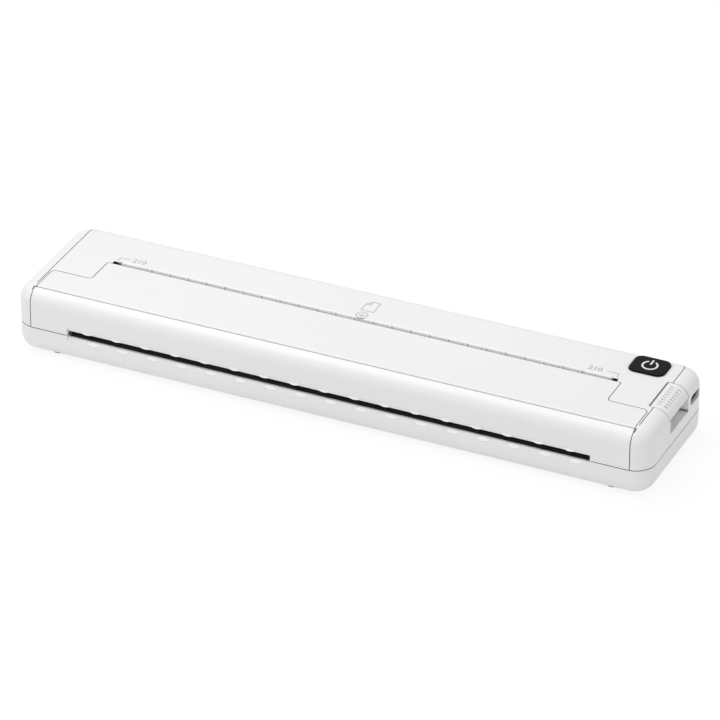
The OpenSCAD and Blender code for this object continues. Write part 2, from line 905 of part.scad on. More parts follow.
// Tab under the lid with a barb for the latch; its barb points to +X at both ends
module latch_lug()
{
    span([0, lug_y0, hook_low - 1.3], [1.4, lug_y1, lid_in + 0.2]);
    span([0, lug_y0, hook_low - 1.3], [2, lug_y1, hook_low - 0.2]);
}

module bracket_screw_points()
{
    for (sx = [-1, 1], y = [platen_y - 4.6, platen_y + 4.6])
        translate([sx * 96, y, 0]) children();
}

module lid_cover()
{
    color(casing)
    difference() {
        union() {
            intersection() {
                union() {
                    span([-wing_x, hinge_y, body_top - lid_t], [wing_x, lid_rear_y, body_top]);
                    rod_x(-wing_x, wing_x, hinge_y, hinge_z, bead_r);
                }
                linear_extrude(big) lid_outline(0);
            }
            both_ends()
                span([side_out + 0.4, wing_rear_y - 1.6, lid_in - 1.2],
                     [wing_x - 3.5, wing_rear_y - 0.6, lid_in + 0.2]);
            translate([catch_in, 0, 0]) latch_lug();
            translate([-catch_out, 0, 0]) latch_lug();
        }
        // Thin rear edge over the ramp
        along_x(-paper_w / 2 - 0.2, paper_w / 2 + 0.2)
            polygon([[lid_rear_y + 1, 0], [lid_rear_y + 1, body_top - lid_t + 0.8],
                     [lid_rear_y - 0.2, body_top - lid_t + 0.6],
                     [lid_rear_y - 3, body_top - lid_t - 0.01], [lid_rear_y - 3, 0]]);
        both_ends()
            rod_x(wing_x - 6.5, wing_x + 1, hinge_y, hinge_z, hinge_pin_r);
        bracket_screw_points() post([0, 0], plate_z0, body_top - 0.6, pilot_r - 0.1);
    }
}

module lid_hinge_pins()
{
    color(steel)
    both_ends() rod_x(wing_x - 6.5, half_len - 5.7, hinge_y, hinge_z, hinge_pin_r);
}

module platen_bracket()
{
    color(graphite)
    difference() {
        union() {
            span([-lug_out, platen_y - 8, plate_z0], [lug_out, platen_y + 6.5, lid_in]);
            both_ends() {
                span([lug_in, platen_y - 4, platen_z], [lug_out, platen_y + 4, plate_z0 + 0.2]);
                rod_x(lug_in, lug_out, platen_y, platen_z, 4);
            }
            span([-platen_x + 2, platen_y - 8, plate_z0 - 3], [platen_x - 2, platen_y - 7, plate_z0]);
        }
        both_ends() rod_x(lug_in - 1, lug_out + 1, platen_y, platen_z, bushing_r);
        bracket_screw_points() post([0, 0], plate_z0 - 1, body_top, screw_r);
    }
}

module bracket_screws()
{
    color(steel)
    bracket_screw_points() {
        post([0, 0], plate_z0 - 0.7, plate_z0, screw_head_r);
        post([0, 0], plate_z0 - 0.1, body_top - 0.7, pilot_r - 0.1);
    }
}

module platen_bushings()
{
    color(gear_white)
    both_ends()
        difference() {
            rod_x(lug_in, lug_out, platen_y, platen_z, bushing_r);
            rod_x(lug_in - 1, lug_out + 1, platen_y, platen_z, shaft_r + run_fit);
        }
}

module platen_shaft()
{
    color(steel)
    rod_x(-gear_out, lug_out + 0.4, platen_y, platen_z, shaft_r);
}

module platen_rubber()
{
    color(rubber_black)
    difference() {
        rod_x(-platen_x, platen_x, platen_y, platen_z, platen_r);
        rod_x(-platen_x - 1, platen_x + 1, platen_y, platen_z, shaft_r);
    }
}

module platen_gear()
{
    color(gear_white) feed_gear(platen_teeth, platen_phase, [platen_y, platen_z], shaft_r);
}

// ---------------------------------------------------------------- feed drive

module idler_gear_front()
{
    color(gear_white) feed_gear(front_teeth, front_phase, front_idler, post_r + run_fit);
}

module idler_gear_rear()
{
    color(gear_white) feed_gear(rear_teeth, rear_phase, rear_idler, post_r + run_fit);
}

module idler_posts()
{
    color(steel)
    for (c = [front_idler, rear_idler]) rod_x(-side_in, -plate_x1, c.x, c.y, post_r);
}

module gear_plate()
{
    color(steel)
    difference() {
        along_x(-plate_x0, -plate_x1)
            polygon([
                [front_idler.x - 3, floor_in], [motor_at.x + motor_r, floor_in],
                [motor_at.x + motor_r, motor_at.y + motor_r], [motor_at.x - 6.5, motor_at.y + motor_r],
                [motor_at.x - 6.5, front_idler.y + 3], [front_idler.x - 3, front_idler.y + 3]
            ]);
        for (c = [front_idler, rear_idler]) rod_x(-plate_x0 - 1, 0, c.x, c.y, post_r);
        rod_x(-plate_x0 - 1, -plate_x1 + 1, motor_at.x, motor_at.y, 2.2);
        for (s = [-1, 1])
            rod_x(-plate_x0 - 1, -plate_x1 + 1, motor_at.x + s * 5, motor_at.y + 3, 0.8);
    }
}

module motor_body()
{
    x1 = -plate_x1 + motor_len;
    color(steel)
    difference() {
        union() {
            rod_x(-plate_x1, x1, motor_at.x, motor_at.y, motor_r);
            rod_x(x1 - 0.1, x1 + 1, motor_at.x, motor_at.y, 2.5);
        }
        rod_x(-plate_x1 - 1, x1 - 2, motor_at.x, motor_at.y, 0.75 + run_fit);
        for (s = [-1, 1])
            rod_x(-plate_x1 - 1, -plate_x1 + 3, motor_at.x + s * 5, motor_at.y + 3, 0.8);
    }
}

module motor_shaft()
{
    color(steel)
    rod_x(-gear_out - 0.3, -plate_x1 + motor_len - 2.5, motor_at.x, motor_at.y, 0.75);
}

module motor_pinion()
{
    color([0.8, 0.65, 0.35]) feed_gear(pinion_teeth, pinion_phase, motor_at, 0.75);
}

module motor_screws()
{
    color(steel)
    for (s = [-1, 1]) {
        rod_x(-plate_x0 - 0.5, -plate_x0, motor_at.x + s * 5, motor_at.y + 3, 1.3);
        rod_x(-plate_x0 - 0.1, -plate_x1 + 2.5, motor_at.x + s * 5, motor_at.y + 3, 0.8);
    }
}

// ---------------------------------------------------------------- print head

module thermal_head()
{
    color([0.87, 0.85, 0.8])
    union() {
        span([-head_x, head_front + 5.6, sink_top], [head_x, head_rear, head_top]);
    }
}

module head_driver_cover()
{
    color(rubber_black)
    span([-head_x + 4, head_front + 0.6, sink_top], [head_x - 4, head_front + 5.4, head_top - 0.2]);
}

module head_heatsink()
{
    color(steel)
    difference() {
        union() {
            span([-head_x, head_front, sink_bottom], [head_x, head_rear, sink_top]);
            for (y = [head_front + 4, head_rear - 1.6])
                span([-head_x + 12, y, sink_bottom - 1.2], [head_x - 12, y + 1, sink_bottom]);
        }
        both_ends() rod_x(head_x - 4, head_x + 1, head_pin_y, head_pin_z, head_pin_r);
    }
}

module head_pivot_pins()
{
    color(steel)
    both_ends() rod_x(head_x - 4, side_out, head_pin_y, head_pin_z, head_pin_r);
}

module head_springs()
{
    color(steel)
    for (x = head_spring_x)
        translate([x, head_spring_y, floor_in])
            coil(head_spring_r, head_spring_wire / 2, sink_bottom - floor_in, 5);
}

module paper_sensor()
{
    color(rubber_black)
    span([30, head_front - 4.8, slot_low - 1.8], [35, head_front - 2.6, slot_low + 0.8]);
}

// ---------------------------------------------------------------- key and latch

module key_marks_cut()
{
    mid = (key_front + key_rear) / 2;
    for (i = [0 : key_marks - 1]) {
        y = mid + (i - (key_marks - 1) / 2) * key_mark_pitch;
        for (a = [2, 31])
            translate([half_len - top_r, y, body_top - top_r])
                rotate([0, a, 0])
                    span([-0.9, -0.5, top_r - 0.4], [0.9, 0.5, top_r + 1]);
    }
}

module release_key()
{
    arm = [
        [key_axis_x - 0.8, key_axis_z - 2.2], [finger_x1, key_axis_z - 3],
        [finger_x1, finger_low], [finger_x0, finger_low], [finger_x0, key_axis_z - 2],
        [key_x - 0.7, key_axis_z - 1.1], [key_x + 0.4, key_axis_z - 0.6], [key_nose_x, key_axis_z],
        [key_axis_x, key_axis_z]
    ];
    color(casing)
    difference() {
        union() {
            intersection() {
                union() {
                    intersection() {
                        skin(key_t);
                        span([key_nose_x, -big, key_low], [big, big, big]);
                    }
                    rod_y(key_front, key_rear, key_nose_x, body_top - nose_r, nose_r);
                    rod_y(key_front, key_rear, key_axis_x, key_axis_z, barrel_r);
                    intersection() {
                        slab(0.5);
                        span([pocket_x + 0.5, -big, key_low], [big, big, key_low + 1.2]);
                    }
                }
                linear_extrude(big) key_outline(0);
            }
            along_y(finger_y0, finger_y1) polygon(arm);
        }
        rod_y(key_front - 1, key_rear + 1, key_axis_x, key_axis_z, key_pin_r + run_fit);
        key_marks_cut();
    }
}

module release_key_pin()
{
    color(steel)
    rod_y(key_front - 1.6, key_rear + 1.6, key_axis_x, key_axis_z, key_pin_r);
}

// Hook whose nose points to -X, with its nose tip at x
module latch_hook(x)
{
    span([x, lug_y0, hook_low], [x + 2.4, bar_y1, hook_high]);
    span([x, bar_y0, hook_low], [x + 2.4, bar_y1, bar_z0 + 0.2]);
}

module latch_bar()
{
    color(graphite)
    union() {
        span([-catch_in + 0.3, bar_y0, bar_z0], [fork_in0, bar_y1, bar_z1]);
        latch_hook(-catch_in + 0.3);
        latch_hook(catch_out + 0.3);
        // Tab that the spring pushes on
        span([spring_x0 - 1.6, bar_y0, latch_spring_z - 1.9],
             [spring_x0, bar_y1, bar_z0 + 0.2]);
        // Fork round the key's finger
        difference() {
            span([fork_x0, bar_y0 - 0.8, fork_low], [fork_x1, bar_y1 + 1, fork_high]);
            span([fork_in0, finger_y0 - 0.3, 0], [fork_in1, finger_y1 + 0.3, big]);
        }
        span([fork_x0, bar_y0, fork_low], [fork_in0, bar_y1, bar_z0 + 0.2]);
    }
}

module latch_spring()
{
    color(steel)
    translate([spring_x0, (bar_y0 + bar_y1) / 2, latch_spring_z])
        rotate([0, 90, 0]) coil(1.3, 0.2, spring_x1 - spring_x0, 9);
}

// ---------------------------------------------------------------- button, socket, board, battery

// Ring with a gap towards the rear and a bar in the gap
module symbol_outline()
{
    difference() {
        circle(symbol_r);
        circle(symbol_r - symbol_w);
        polygon([[0, 0], [-2.6, 5], [2.6, 5]]);
    }
    soft_rect([-symbol_w / 2, 0.6], [symbol_w / 2, symbol_r + 0.7], 0, 0);
}

module power_button()
{
    half = [button_w, button_d] / 2;
    color(rubber_black)
    translate([button_x, button_y, 0])
        difference() {
            union() {
                translate([0, 0, flange_top - 0.1])
                    linear_extrude(button_top - flange_top + 0.1)
                        soft_rect(-half, half, button_r, button_r);
                translate([0, 0, flange_top - 0.8])
                    linear_extrude(0.8)
                        soft_rect(-half - [0.8, 0.8], half + [0.8, 0.5], button_r, button_r);
                post([0, 0], board_top + 4.9, flange_top, 1.5);
            }
            translate([0, 0, button_top - symbol_t]) linear_extrude(1) symbol_outline();
        }
}

module power_symbol()
{
    color("white")
    translate([button_x, button_y, button_top - symbol_t])
        linear_extrude(symbol_t) symbol_outline();
}

module power_switch()
{
    color(graphite)
    translate([button_x, button_y, 0]) {
        span([-3, -3, board_top], [3, 3, board_top + 3.4]);
        post([0, 0], board_top + 3.3, board_top + 4.1, 1.6);
    }
}

module usb_c_shell()
{
    color(steel)
    difference() {
        oval_x(board_x1 - 1, half_len - 1.6, usb_y, usb_z, usb_w, usb_h);
        oval_x(board_x1, half_len, usb_y, usb_z, usb_w - 0.6, usb_h - 0.6);
    }
}

module usb_c_tongue()
{
    color(rubber_black)
    span([board_x1, usb_y - 3.35, usb_z - 0.35], [half_len - 2.4, usb_y + 3.35, usb_z + 0.35]);
}

module main_board()
{
    color([0.05, 0.32, 0.2])
    difference() {
        span([board_x0, board_y0, board_bottom], [board_x1, board_y1, board_top]);
        for (p = board_holes) post(p, board_bottom - 1, board_top + 1, screw_r + 0.1);
    }
}

module board_chips()
{
    color(rubber_black) {
        span([board_x0 + 9, board_y0 + 6, board_top], [board_x0 + 16, board_y0 + 13, board_top + 1]);
        span([board_x0 + 19, board_y0 + 9, board_top], [board_x0 + 23, board_y0 + 13, board_top + 1.2]);
        span([board_x0 + 21.5, board_y0 + 2, board_bottom - 1.4],
             [board_x0 + 27.5, board_y0 + 8, board_bottom]);
        span([board_x0 + 30, board_y0 + 3, board_bottom - 1],
             [board_x0 + 34, board_y0 + 10, board_bottom]);
    }
}

module board_screws()
{
    color(steel)
    for (p = board_holes) {
        post(p, board_top, board_top + 0.8, screw_head_r);
        post(p, board_bottom - 4, board_top + 0.1, pilot_r);
    }
}

module head_connector()
{
    color([0.9, 0.88, 0.82]) {
        span([ribbon_x0 - 1, board_y0 + 1, board_bottom - 2],
             [ribbon_x1 + 1, board_y0 + 4, board_bottom]);
    }
}

module head_cable()
{
    y0 = head_front + 6.5;
    y1 = board_y0 + 2.4;
    color([0.85, 0.5, 0.15])
    along_x(ribbon_x0, ribbon_x1)
        strip([[y0, sink_bottom - 0.4], [y0 - 1, sink_bottom - 1.4], [y0 - 1, floor_in + 1.6],
               [y0, floor_in + 0.6], [y1 - 1, floor_in + 0.6], [y1, floor_in + 1.6],
               [y1, board_bottom - 2]], 0.2);
}

module battery_cells()
{
    color([0.12, 0.35, 0.62])
    both_ends() {
        rod_x(cell_gap / 2, cells_x, cell_y, cell_z, cell_r);
    }
}

module battery_tabs()
{
    color(steel) {
        span([-cell_gap / 2, cell_y - 3, cell_z - 3], [cell_gap / 2, cell_y + 3, cell_z + 3]);
        both_ends() span([cells_x, cell_y - 3, cell_z - 3], [cells_x + 0.3, cell_y + 3, cell_z + 3]);
    }
}

module battery_leads()
{
    z = cell_z - 2;
    y = min(cell_y + 1, rear_screw.y - boss_r - 1.9);
    color([0.75, 0.1, 0.08])
    for (dy = [-0.8, 0.8])
        wire_run([[cells_x + 0.3, y + dy, z], [board_x0 + 1.5 - dy / 2, y + dy, z],
                  [board_x0 + 1.5 - dy / 2, y + dy, board_bottom]], 0.6);
}

bottom_shell();
surround_frame();
front_panel();
top_plate();
chassis();
rubber_feet();
case_screws();
lid_cover();
lid_hinge_pins();
platen_bracket();
bracket_screws();
platen_bushings();
platen_shaft();
platen_rubber();
platen_gear();
idler_gear_front();
idler_gear_rear();
idler_posts();
gear_plate();
motor_body();
motor_shaft();
motor_pinion();
motor_screws();
thermal_head();
head_driver_cover();
head_heatsink();
head_pivot_pins();
head_springs();
paper_sensor();
release_key();
release_key_pin();
latch_bar();
latch_spring();
power_button();
power_symbol();
power_switch();
usb_c_shell();
usb_c_tongue();
main_board();
board_chips();
board_screws();
head_connector();
head_cable();
battery_cells();
battery_tabs();
battery_leads();
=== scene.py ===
"""Looks of the portable thermal printer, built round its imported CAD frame. Metres, +Z up."""
import json
import math

import bmesh
import bpy
from mathutils import Matrix, Vector

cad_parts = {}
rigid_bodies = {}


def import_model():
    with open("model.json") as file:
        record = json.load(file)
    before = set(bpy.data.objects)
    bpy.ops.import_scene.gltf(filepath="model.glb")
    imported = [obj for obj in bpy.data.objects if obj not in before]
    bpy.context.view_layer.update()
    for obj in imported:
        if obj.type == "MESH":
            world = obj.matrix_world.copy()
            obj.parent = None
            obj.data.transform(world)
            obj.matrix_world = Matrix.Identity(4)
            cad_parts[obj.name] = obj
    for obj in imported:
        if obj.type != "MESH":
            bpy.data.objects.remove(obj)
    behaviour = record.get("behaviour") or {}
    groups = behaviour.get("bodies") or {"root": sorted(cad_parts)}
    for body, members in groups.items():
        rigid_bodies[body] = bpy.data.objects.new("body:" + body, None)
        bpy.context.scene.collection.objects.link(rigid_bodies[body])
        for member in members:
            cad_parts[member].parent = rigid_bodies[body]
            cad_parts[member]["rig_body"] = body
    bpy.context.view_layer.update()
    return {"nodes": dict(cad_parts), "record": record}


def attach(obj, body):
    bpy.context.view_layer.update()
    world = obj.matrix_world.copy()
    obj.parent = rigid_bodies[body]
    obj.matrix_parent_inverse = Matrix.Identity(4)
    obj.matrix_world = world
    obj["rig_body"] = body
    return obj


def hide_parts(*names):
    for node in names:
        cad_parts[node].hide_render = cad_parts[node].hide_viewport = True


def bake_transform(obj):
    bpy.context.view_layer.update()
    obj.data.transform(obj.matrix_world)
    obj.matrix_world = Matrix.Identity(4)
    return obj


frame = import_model()
nodes = frame["nodes"]
MM = 0.001


# ---------------------------------------------------------------- shader groups


def new_group(name, inputs, outputs):
    """An empty shader group with float inputs {name: default} and the outputs named."""
    group = bpy.data.node_groups.new(name, "ShaderNodeTree")
    for label, default in inputs.items():
        socket = group.interface.new_socket(label, in_out="INPUT", socket_type="NodeSocketFloat")
        socket.default_value = default
    for label in outputs:
        group.interface.new_socket(label, in_out="OUTPUT", socket_type="NodeSocketFloat")
    return group, group.nodes.new("NodeGroupInput"), group.nodes.new("NodeGroupOutput")


def object_coords(tree, stretch=(1, 1, 1)):
    """Object coordinates, scaled per axis so that a pattern can run along the part."""
    coords = tree.nodes.new("ShaderNodeTexCoord")
    mapping = tree.nodes.new("ShaderNodeMapping")
    mapping.inputs["Scale"].default_value = stretch
    tree.links.new(coords.outputs["Object"], mapping.inputs["Vector"])
    return mapping.outputs["Vector"]


def noise(tree, vector, scale, detail, rough):
    texture = tree.nodes.new("ShaderNodeTexNoise")
    texture.inputs["Detail"].default_value = detail
    texture.inputs["Roughness"].default_value = rough
    tree.links.new(vector, texture.inputs["Vector"])
    if isinstance(scale, (int, float)):
        texture.inputs["Scale"].default_value = scale
    else:
        tree.links.new(scale, texture.inputs["Scale"])
    return texture.outputs["Fac"]


def remap(tree, value, low, high, from_low=0.35, from_high=0.65):
    """A value stretched to run from low to high. Its own range by default is that of most noise."""
    ranges = tree.nodes.new("ShaderNodeMapRange")
    ranges.inputs["From Min"].default_value = from_low
    ranges.inputs["From Max"].default_value = from_high
    ranges.inputs["To Min"].default_value = low
    ranges.inputs["To Max"].default_value = high
    tree.links.new(value, ranges.inputs["Value"])
    return ranges.outputs["Result"]


def make_moulded_grain():
    """Spark-eroded mould texture: fine pits, with slow drifts in tone and gloss."""
    group, given, out = new_group(
        "moulded_grain", {"Pit Scale": 2600.0, "Drift Scale": 14.0}, ["Height", "Drift", "Gloss"]
    )
    vector = object_coords(group)
    pits = noise(group, vector, given.outputs["Pit Scale"], 3.0, 0.6)
    drift = noise(group, vector, given.outputs["Drift Scale"], 2.0, 0.5)
    handled = noise(group, object_coords(group, (1, 1.6, 2.2)), 42.0, 3.0, 0.55)
    group.links.new(pits, out.inputs["Height"])
    group.links.new(remap(group, drift, 0.0, 1.0), out.inputs["Drift"])
    group.links.new(remap(group, handled, 0.0, 1.0), out.inputs["Gloss"])
    return group


def make_drawn_lines(name, stretch):
    """Fine lines left by rolling, drawing or grinding, running along the axis with the small stretch."""
    group, given, out = new_group(name, {"Line Scale": 900.0}, ["Height", "Tone"])
    vector = object_coords(group, stretch)
    fine = noise(group, vector, given.outputs["Line Scale"], 4.0, 0.65)
    broad = noise(group, vector, 160.0, 2.0, 0.5)
    group.links.new(fine, out.inputs["Height"])
    group.links.new(remap(group, broad, 0.0, 1.0), out.inputs["Tone"])
    return group


moulded_grain = make_moulded_grain()
lines_along_x = make_drawn_lines("drawn_along_x", (0.03, 1, 1))
lines_around = make_drawn_lines("ground_around", (1, 0.12, 0.12))


# ---------------------------------------------------------------- shader pieces


def new_material(name):
    mat = bpy.data.materials.new(name)
    mat.use_nodes = True
    tree = mat.node_tree
    return mat, tree, tree.nodes["Principled BSDF"]


def place_group(tree, group, **values):
    node = tree.nodes.new("ShaderNodeGroup")
    node.node_tree = group
    for label, value in values.items():
        node.inputs[label.replace("_", " ")].default_value = value
    return node


def blend_colours(tree, factor, a, b):
    mix = tree.nodes.new("ShaderNodeMix")
    mix.data_type = "RGBA"
    for socket, colour in (("A_Color", a), ("B_Color", b)):
        target = next(s for s in mix.inputs if s.identifier == socket)
        if isinstance(colour, tuple):
            target.default_value = (*colour, 1)
        else:
            tree.links.new(colour, target)
    tree.links.new(factor, next(s for s in mix.inputs if s.identifier == "Factor_Float"))
    return next(s for s in mix.outputs if s.identifier == "Result_Color")


def finish_surface(tree, shader, colour, spread, roughness, height, depth):
    """Link a surface's colour, its roughness, spread between two values, and its relief. The relief's
    depth is in mm."""
    tree.links.new(colour, shader.inputs["Base Color"])
    tree.links.new(remap(tree, spread, *roughness, 0, 1), shader.inputs["Roughness"])
    bump = tree.nodes.new("ShaderNodeBump")
    bump.inputs["Distance"].default_value = depth * MM
    bump.inputs["Strength"].default_value = 1.0
    tree.links.new(height, bump.inputs["Height"])
    tree.links.new(bump.outputs["Normal"], shader.inputs["Normal"])


def axis_value(tree, axis):
    coords = tree.nodes.new("ShaderNodeTexCoord")
    split = tree.nodes.new("ShaderNodeSeparateXYZ")
    tree.links.new(coords.outputs["Object"], split.inputs["Vector"])
    return split.outputs[axis]


def math_node(tree, operation, a, b=0.0):
    node = tree.nodes.new("ShaderNodeMath")
    node.operation = operation
    for socket, value in zip(node.inputs, (a, b)):
        if isinstance(value, (int, float)):
            socket.default_value = value
        else:
            tree.links.new(value, socket)
    return node.outputs[0]


def joined(tree, operation, *values):
    """One operation over all the values, such as the product of some masks."""
    result = values[0]
    for value in values[1:]:
        result = math_node(tree, operation, result, value)
    return result


def stripes(tree, axis, pitch, share):
    """Mask of bands across an axis: 1 over the given share of every pitch."""
    phase = math_node(tree, "FRACT", math_node(tree, "MULTIPLY", axis_value(tree, axis), 1 / pitch))
    return math_node(tree, "LESS_THAN", phase, share)


def band(tree, axis, low, high):
    """Mask that is 1 between two places along an axis."""
    value = axis_value(tree, axis)
    above = math_node(tree, "GREATER_THAN", value, low)
    return math_node(tree, "MULTIPLY", above, math_node(tree, "LESS_THAN", value, high))


# ---------------------------------------------------------------- materials


def finish_grained(tree, shader, colour, grain, roughness, depth):
    """Finish a surface whose gloss and relief both come from the moulded grain."""
    spread, height = grain.outputs["Gloss"], grain.outputs["Height"]
    finish_surface(tree, shader, colour, spread, roughness, height, depth)


def plastic(name, light, dark, roughness, pit_scale=2600.0, pit_depth=0.012):
    """A moulded plastic or rubber with two close tones and fine pits."""
    mat, tree, shader = new_material(name)
    grain = place_group(tree, moulded_grain, Pit_Scale=pit_scale, Drift_Scale=14.0)
    colour = blend_colours(tree, grain.outputs["Drift"], light, dark)
    finish_grained(tree, shader, colour, grain, roughness, pit_depth)
    return mat


def metal(name, light, dark, roughness, lines_group, line_scale=900.0):
    """A metal with two close tones and drawn or ground lines."""
    mat, tree, shader = new_material(name)
    lines = place_group(tree, lines_group, Line_Scale=line_scale)
    tone = lines.outputs["Tone"]
    colour = blend_colours(tree, tone, light, dark)
    shader.inputs["Metallic"].default_value = 1.0
    finish_surface(tree, shader, colour, tone, roughness, lines.outputs["Height"], 0.008)
    return mat


def ceramic_strip():
    """Glazed alumina with the fine printed conductors that run from the heating line to the drivers."""
    mat, tree, shader = new_material("glazed_alumina")
    grain = place_group(tree, moulded_grain, Pit_Scale=1500.0, Drift_Scale=30.0)
    body = blend_colours(tree, grain.outputs["Drift"], (0.80, 0.77, 0.69), (0.74, 0.71, 0.63))
    conductors = math_node(
        tree, "MULTIPLY", stripes(tree, "X", 0.5 * MM, 0.5), band(tree, "Y", -13.2 * MM, -8.9 * MM)
    )
    colour = blend_colours(tree, conductors, body, (0.62, 0.46, 0.2))
    finish_grained(tree, shader, colour, grain, (0.12, 0.22), 0.003)
    return mat


def circuit_board():
    """Green solder mask with copper runs showing faintly through it."""
    mat, tree, shader = new_material("solder_mask")
    grain = place_group(tree, moulded_grain, Pit_Scale=3000.0, Drift_Scale=60.0)
    mask = blend_colours(tree, grain.outputs["Drift"], (0.012, 0.13, 0.06), (0.01, 0.1, 0.045))
    runs = math_node(
        tree, "MULTIPLY", stripes(tree, "Y", 1.1 * MM, 0.35), stripes(tree, "X", 9.0 * MM, 0.7)
    )
    colour = blend_colours(tree, runs, mask, (0.03, 0.2, 0.08))
    finish_surface(tree, shader, colour, grain.outputs["Gloss"], (0.22, 0.35), runs, 0.02)
    return mat


def film_cable():
    """Amber film with flat copper conductors along it."""
    mat, tree, shader = new_material("film_cable")
    grain = place_group(tree, moulded_grain, Pit_Scale=900.0, Drift_Scale=90.0)
    film = blend_colours(tree, grain.outputs["Drift"], (0.5, 0.22, 0.04), (0.42, 0.17, 0.03))
    copper = stripes(tree, "X", 1.0 * MM, 0.55)
    colour = blend_colours(tree, copper, film, (0.62, 0.3, 0.1))
    finish_surface(tree, shader, colour, grain.outputs["Gloss"], (0.2, 0.3), copper, 0.02)
    return mat


# The outlet slot and the lens-shaped ribs along its lips, at the sizes of the CAD model, and then
# the space that the ribs take up: half the length of a row, and its front and back. They place the painted
# highlights on the ribs' crests.
SLOT_MID = 12.5 * MM
SLOT_HALF = 1.4 * MM
RIB_OFF_EDGE = 0.9 * MM
LOWER_RIB_SHIFT = 2.7 * MM
RIB_PITCH = 12.8 * MM
RIB_RADIUS = 6.2 * MM
RIB_HALF = 0.65 * MM
RIB_ROW = 105.5 * MM
RIB_FRONT = (-30 * MM, -28.6 * MM)

# The casing's two close whites, the lighter white of the painted highlights on the ribs' crests, and the
# roughness range
WHITE = (0.865, 0.87, 0.868)
WHITE_LOW = (0.845, 0.85, 0.85)
CREST_HIGHLIGHT_WHITE = (0.98, 0.98, 0.98)
CASING_ROUGHNESS = (0.34, 0.42)
COAT = 0.12
COAT_ROUGHNESS = 0.12

# How near a wall must be to give a seam its painted shade, the open shares where the painted shade is deepest
# and where it ends, and the deepest painted shade as a share of the white
SEAM_REACH = 1.4 * MM
SEAM_OPENNESS = (0.5, 0.93)
SEAM_SHADE = 0.1

# Places whose seams keep a lighter painted shade, with that tone: 1 is the tone of an open face
LIP_END = 111.6 * MM
RIBBED_END = 109.6 * MM
RIBBED_LOSS = 0.3
LIP_Y = (-30 * MM, -27.5 * MM)
LIP_Z = (8 * MM, 17 * MM)
GROOVE_FRONT = 0.6 * MM
GROOVE_END = 129.5 * MM
GROOVE_SIDE = 0.1 * MM
GROOVE_TONE = 0.7
INLET_END = 104 * MM
INLET_Y = (3.5 * MM, 12 * MM)
INLET_TONE = 0.75
CORNER_START = 126 * MM
CORNER_Y = (-27 * MM, -20 * MM)
CORNER_Z = (23 * MM, 29 * MM)
CORNER_TONE = 0.55


def lighter_seam_shade_places(tree):
    """The least tone of the painted seam shade along the slot's lips, beside the key, in the inlet and at the
    lid's corners.
    """
    across = math_node(tree, "ABSOLUTE", axis_value(tree, "X"))
    ribbed = math_node(tree, "LESS_THAN", across, RIBBED_END)
    lips = joined(
        tree,
        "MULTIPLY",
        math_node(tree, "LESS_THAN", across, LIP_END),
        math_node(tree, "SUBTRACT", 1.0, math_node(tree, "MULTIPLY", ribbed, RIBBED_LOSS)),
        band(tree, "Y", *LIP_Y),
        band(tree, "Z", *LIP_Z),
    )
    key = [v.co for v in nodes["release_key"].data.vertices]
    groove = joined(
        tree,
        "MULTIPLY",
        band(tree, "X", min(c.x for c in key) - GROOVE_FRONT, GROOVE_END),
        band(tree, "Y", min(c.y for c in key) - GROOVE_SIDE, max(c.y for c in key) + GROOVE_SIDE),
        GROOVE_TONE,
    )
    inlet = joined(
        tree,
        "MULTIPLY",
        math_node(tree, "LESS_THAN", across, INLET_END),
        band(tree, "Y", *INLET_Y),
        INLET_TONE,
    )
    corner = joined(
        tree,
        "MULTIPLY",
        math_node(tree, "GREATER_THAN", across, CORNER_START),
        band(tree, "Y", *CORNER_Y),
        band(tree, "Z", *CORNER_Z),
        CORNER_TONE,
    )
    return joined(tree, "MAXIMUM", lips, groove, inlet, corner)


def painted_seam_shade(tree, low):
    """Painted shade: 1 on open faces, down to the low value where a face is shut in, as inside a parting gap.
    """
    shut_in = tree.nodes.new("ShaderNodeAmbientOcclusion")
    shut_in.samples = 8
    shut_in.inputs["Distance"].default_value = SEAM_REACH
    open_share = remap(tree, shut_in.outputs["AO"], low, 1.0, *SEAM_OPENNESS)
    return math_node(tree, "MAXIMUM", open_share, lighter_seam_shade_places(tree))


def painted_rib_highlights(tree, height, shift):
    """Mask of the painted highlights on the lens-shaped ribs along one lip of the outlet slot."""
    turn = math_node(tree, "ADD", axis_value(tree, "X"), RIB_PITCH / 2 - shift)
    turn = math_node(tree, "FRACT", math_node(tree, "MULTIPLY", turn, 1 / RIB_PITCH))
    along = math_node(tree, "MULTIPLY", math_node(tree, "SUBTRACT", turn, 0.5), RIB_PITCH)
    rise = math_node(tree, "ABSOLUTE", math_node(tree, "SUBTRACT", axis_value(tree, "Z"), height))
    rise = math_node(tree, "ADD", rise, RIB_RADIUS - RIB_HALF)
    reach = math_node(
        tree,
        "ADD",
        math_node(tree, "MULTIPLY", along, along),
        math_node(tree, "MULTIPLY", rise, rise),
    )
    return joined(
        tree,
        "MULTIPLY",
        math_node(tree, "LESS_THAN", reach, RIB_RADIUS**2),
        band(tree, "X", shift - RIB_ROW, shift + RIB_ROW),
        band(tree, "Y", *RIB_FRONT),
    )


